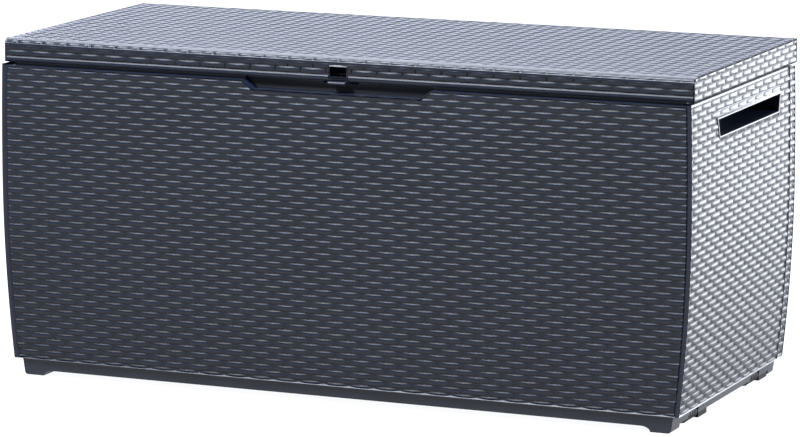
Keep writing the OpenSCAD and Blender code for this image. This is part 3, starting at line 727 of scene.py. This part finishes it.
def over_the_nose(point):
    """Carries a point of the flat sheet up the front, round the nose and over the top."""
    if point.y < skirt_rise:
        return Vector((point.x, lid_low.y - point.z, lid_low.z + point.y))
    turn = (point.y - skirt_rise) / nose
    if turn < math.pi / 2:
        reach = nose + point.z
        return Vector((point.x, lid_low.y + nose - reach * math.cos(turn),
                       lid_high.z - nose + reach * math.sin(turn)))
    return Vector((point.x, lid_low.y + nose + point.y - skirt_rise - nose_run,
                   lid_high.z + point.z))


for point in weave.data.vertices:
    point.co = over_the_nose(point.co)


def lid_end_weave(side):
    """The strands on one end of the lid's skirt, cut to the nose at the front."""
    piece = woven_sheet("lid_end", end_bump, end_row, end_columns, skirt_rows)
    open_mesh(piece, "FACE")
    edges = sorted((side * (lid_low.y + lid_rim - end_middle),
                    side * (lid_high.y - lid_rim - end_middle)))
    cut(piece, (edges[0], 0), (-1, 0))
    cut(piece, (edges[1], 0), (1, 0))
    cut(piece, (0, thin_rim), (0, -1))
    cut(piece, (0, lid_high.z - lid_low.z - lid_rim), (0, 1))
    bends = [math.pi / 2 * i / nose_steps for i in range(nose_steps + 1)]
    corner = (side * (lid_low.y + nose - end_middle), skirt_rise)
    arc = [(corner[0] - side * (nose - lid_rim) * math.cos(a),
            corner[1] + (nose - lid_rim) * math.sin(a)) for a in bends]
    for a, b in zip(arc[:-1], arc[1:]):
        cut(piece, a, (-side * (b[1] - a[1]), abs(b[0] - a[0])))
    back_up(piece, backing)
    close_mesh()
    keep_relief(piece)
    place(piece, (math.pi / 2, 0, side * math.pi / 2),
          (side * lid_high.x, end_middle, lid_low.z))
    return piece


hinge_places = [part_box(f"hinge_pin_{where}") for where in ("left", "middle", "right")]
notch_half = 0.0285
notch_rise = 0.0193
notch_foot = -0.01
back_skirt = woven_sheet("lid_back", long_bump, end_row, long_columns, skirt_rows)
open_mesh(back_skirt, "FACE")
cut(back_skirt, (lid_low.x + lid_rim, 0), (-1, 0))
cut(back_skirt, (lid_high.x - lid_rim, 0), (1, 0))
cut(back_skirt, (0, thin_rim), (0, -1))
cut(back_skirt, (0, lid_high.z - lid_low.z - lid_rim), (0, 1))
for low, high in hinge_places:
    open_up(back_skirt, four_sides(notch_half, notch_half, notch_foot, notch_rise, lid_rim,
                                   -(low.x + high.x) / 2), hole_reach)
back_up(back_skirt, backing)
close_mesh()
keep_relief(back_skirt)
place(back_skirt, (math.pi / 2, 0, math.pi), (0, lid_high.y, lid_low.z))

lid = moulding("lid_shell", "lid")
open_mesh(lid, "FACE")


def top_or_front(face):
    centre = face.calc_center_median()
    if abs(face.normal.x) > 0.1:
        return False
    if face.normal.z > 0.99:
        return near(centre.z, lid_high.z, 1e-4)
    if face.normal.y < -0.99:
        return near(centre.y, lid_low.y, 1e-4)
    return face.normal.z > 0.05


let_in(lid, top_or_front, lid_rim)
for side in (-1, 1):
    let_in(lid, lambda f: f.normal.x * side > 0.99
           and near(f.calc_center_median().x * side, lid_high.x, 1e-4), lid_rim)
let_in(lid, lambda f: f.normal.y > 0.99 and near(f.calc_center_median().y, lid_high.y, 1e-4),
       lid_rim)
bpy.ops.mesh.select_mode(type="VERT")
pick(lid, lambda v: near(v.co.z, lid_low.z + lid_rim, 1e-4))
bpy.ops.transform.translate(value=(0, 0, thin_rim - lid_rim))
close_mesh()
soften(lid, lid_round)
ends = [lid_end_weave(-1), lid_end_weave(1)]
for piece in (lid, weave, back_skirt):
    piece.data.materials.append(woven_long)
for piece in ends:
    piece.data.materials.append(woven_end)
for piece in (weave, back_skirt, *ends):
    smooth(piece, strand_angle)
smooth(lid)
lid = gather("lid", lid, weave, back_skirt, *ends)
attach(lid, "lid")
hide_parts("lid_shell")


# ---- Lid liner ----
# A ribbed inner panel that is screwed up into the lid. It stiffens the top, and carries the
# hinge knuckles and the ribs that rest on the walls' rain lip.

finish_moulding("lid_liner", "lid_liner_panel", "lid", plain_resin,
                round_off=0.0004)


# ---- Lock ----
# A small cup closes the window in the lid's front. Its sill has a hole for the shackle,
# above the matching hole of the tab that straddles the recess's rear wall.

finish_moulding("lock_insert", "lock_cup", "lid", plain_resin,
                round_off=0.0004)
finish_moulding("lock_tab", "lock_plate", "box", plain_resin,
                round_off=0.0004)


# ---- Hinge pins ----
# Headed pins of black nylon, each moulded in one. They are pushed in sideways through the
# back wall's lugs, and the lid's knuckles turn on them.

nylon = smooth_resin("black_nylon", (0.003, 0.003, 0.004), (0.006, 0.006, 0.008), 0.55, 0.12)
for where in ("left", "middle", "right"):
    finish_moulding("hinge_pin_" + where, "hinge_rod_" + where, "box", nylon,
                    round_off=0.0003, angle=50)


# ---- Rollers ----
# Two grooved nylon rollers turn on steel axles. Each sits in a bracket that is screwed
# under the base and also carries a skid pad.

for where in ("front", "rear"):
    finish_moulding("roller_bracket_" + where, "roller_cradle_" + where, "box",
                    nylon, round_off=0.0005)
    finish_moulding("roller_" + where, "roller_wheel_" + where, where + "_roller",
                    nylon, round_off=0.0003, angle=50)


# ---- Axles and screws ----
# Zinc-plated steel: turned axles for the rollers, and cross-recess pan-head screws that hold
# the walls, base, lid, lock and roller brackets together.

def plated_steel():
    """Bright zinc plating with a fine mottle and a faint yellow passivation."""
    paint = bpy.data.materials.new("plated_steel")
    paint.use_nodes = True
    nodes, links = paint.node_tree.nodes, paint.node_tree.links
    shade = nodes["Principled BSDF"]
    shade.inputs["Metallic"].default_value = 1.0
    place_in = nodes.new("ShaderNodeTexCoord")
    cloud = nodes.new("ShaderNodeTexNoise")
    cloud.inputs["Scale"].default_value = 260.0
    cloud.inputs["Detail"].default_value = 4.0
    links.new(place_in.outputs["Object"], cloud.inputs["Vector"])
    tone = nodes.new("ShaderNodeValToRGB")
    tone.color_ramp.elements[0].color = (0.45, 0.45, 0.44, 1)
    tone.color_ramp.elements[1].color = (0.66, 0.65, 0.60, 1)
    links.new(cloud.outputs["Fac"], tone.inputs["Fac"])
    links.new(tone.outputs["Color"], shade.inputs["Base Color"])
    gloss = nodes.new("ShaderNodeMapRange")
    gloss.inputs["To Min"].default_value = 0.22
    gloss.inputs["To Max"].default_value = 0.42
    links.new(cloud.outputs["Fac"], gloss.inputs["Value"])
    links.new(gloss.outputs["Result"], shade.inputs["Roughness"])
    return paint


steel = plated_steel()
for node in ("axle_front", "axle_rear", "corner_screws", "base_screws", "lid_screws",
             "lock_screws", "insert_screws", "bracket_screws"):
    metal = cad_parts[node]
    metal.data.materials.clear()
    metal.data.materials.append(steel)
